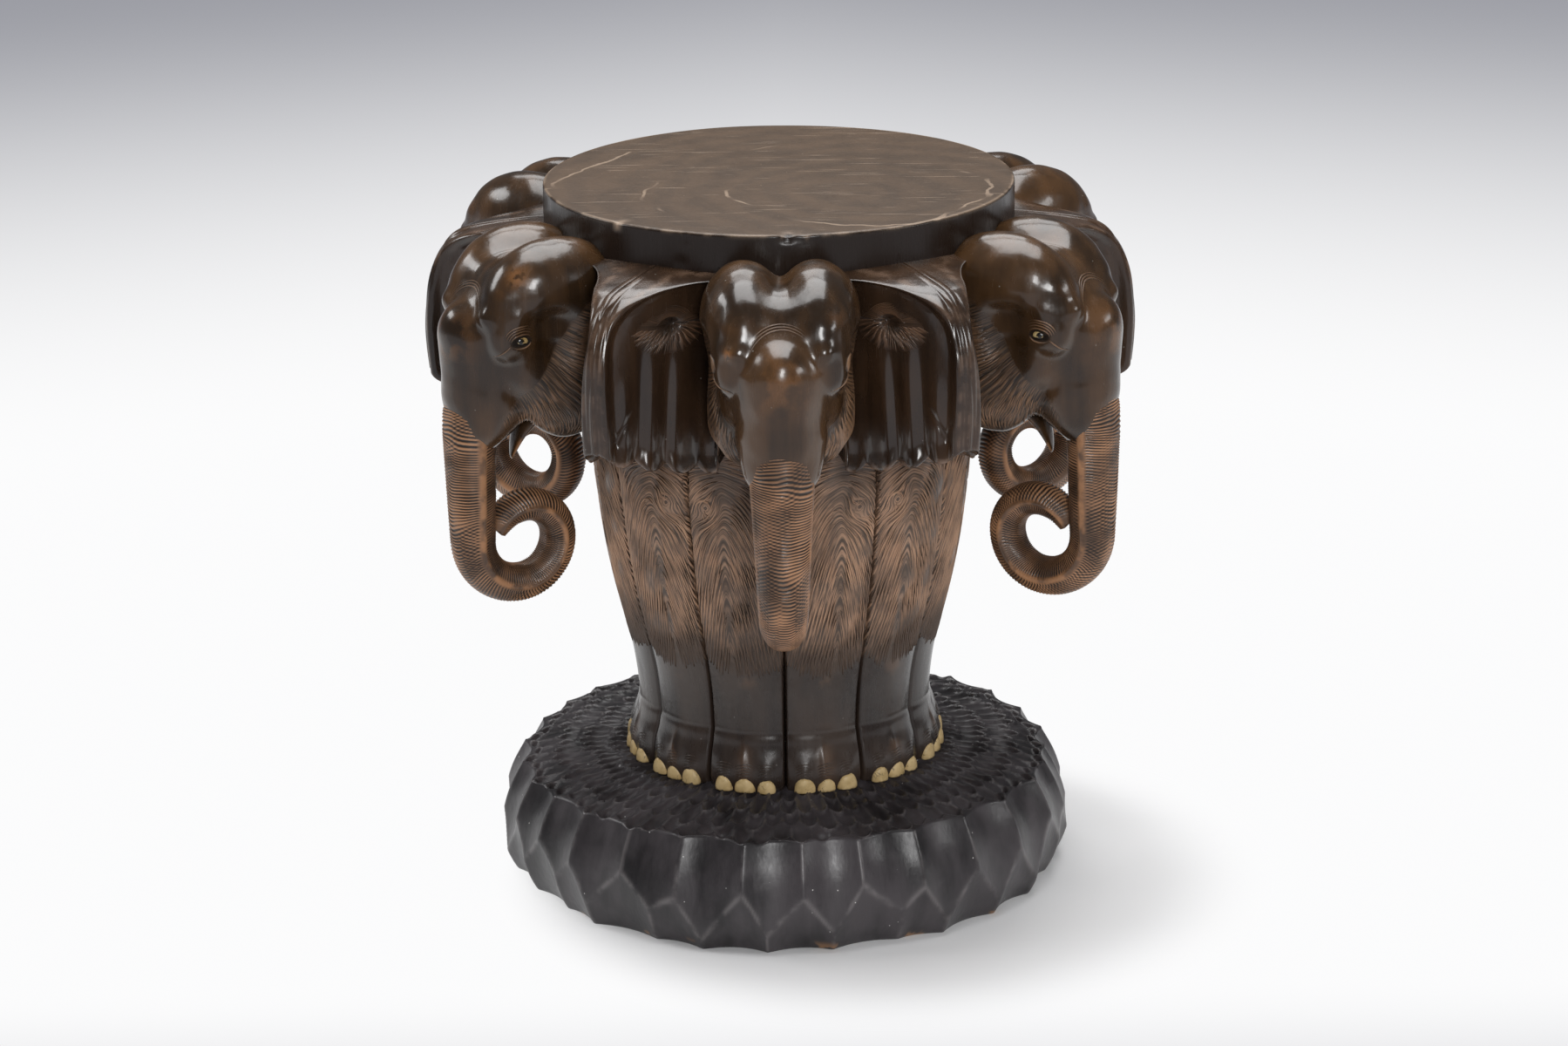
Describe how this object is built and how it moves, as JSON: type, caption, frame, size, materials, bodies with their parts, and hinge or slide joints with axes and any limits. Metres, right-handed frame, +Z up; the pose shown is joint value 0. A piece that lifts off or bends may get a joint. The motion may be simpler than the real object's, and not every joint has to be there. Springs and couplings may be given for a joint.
{
  "type": "elephant table",
  "caption": "Round carved side table: elephants in a ring, ear to ear, carry a round top on their heads and stand on a gouge-carved plinth.",
  "frame": {"origin": "middle of the plinth's underside, on the floor", "axes": "+Z up along the table's axis; an elephant faces -Y, the others follow every 60 degrees"},
  "size_m": [0.5034, 0.524, 0.5],
  "materials": {
    "polished_wood": "dark stained and polished hardwood, worn brown on the high places",
    "grooved_wood": "hardwood with carved grooves, dark in the cuts and orange brown on the ridges",
    "plinth_wood": "black stained hardwood, satin, with gouge marks",
    "nail_bone": "cream, slightly golden inlay, matt",
    "eye_bone": "polished cream inlay with a dark pupil",
    "core_wood": "plain hardwood",
    "screw_steel": "plain steel"
  },
  "bodies": {
    "root": {"base_plinth": "plinth_wood", "base_screws": "screw_steel", "column_core": "core_wood", "ear_left_1": "polished_wood", "ear_left_2": "polished_wood", "ear_left_3": "polished_wood", "ear_left_4": "polished_wood", "ear_left_5": "polished_wood", "ear_left_6": "polished_wood", "ear_right_1": "polished_wood", "ear_right_2": "polished_wood", "ear_right_3": "polished_wood", "ear_right_4": "polished_wood", "ear_right_5": "polished_wood", "ear_right_6": "polished_wood", "eyes_1": "eye_bone", "eyes_2": "eye_bone", "eyes_3": "eye_bone", "eyes_4": "eye_bone", "eyes_5": "eye_bone", "eyes_6": "eye_bone", "head_1": "polished_wood", "head_2": "polished_wood", "head_3": "polished_wood", "head_4": "polished_wood", "head_5": "polished_wood", "head_6": "polished_wood", "head_dowels": "core_wood", "leg_left_1": "polished_wood", "leg_left_2": "polished_wood", "leg_left_3": "polished_wood", "leg_left_4": "polished_wood", "leg_left_5": "polished_wood", "leg_left_6": "polished_wood", "leg_right_1": "polished_wood", "leg_right_2": "polished_wood", "leg_right_3": "polished_wood", "leg_right_4": "polished_wood", "leg_right_5": "polished_wood", "leg_right_6": "polished_wood", "toenails_1": "nail_bone", "toenails_2": "nail_bone", "toenails_3": "nail_bone", "toenails_4": "nail_bone", "toenails_5": "nail_bone", "toenails_6": "nail_bone", "top_disc": "polished_wood", "trunk_1": "grooved_wood", "trunk_2": "grooved_wood", "trunk_3": "grooved_wood", "trunk_4": "grooved_wood", "trunk_5": "grooved_wood", "trunk_6": "grooved_wood", "trunk_dowels": "core_wood"}
  },
  "joints": []
}
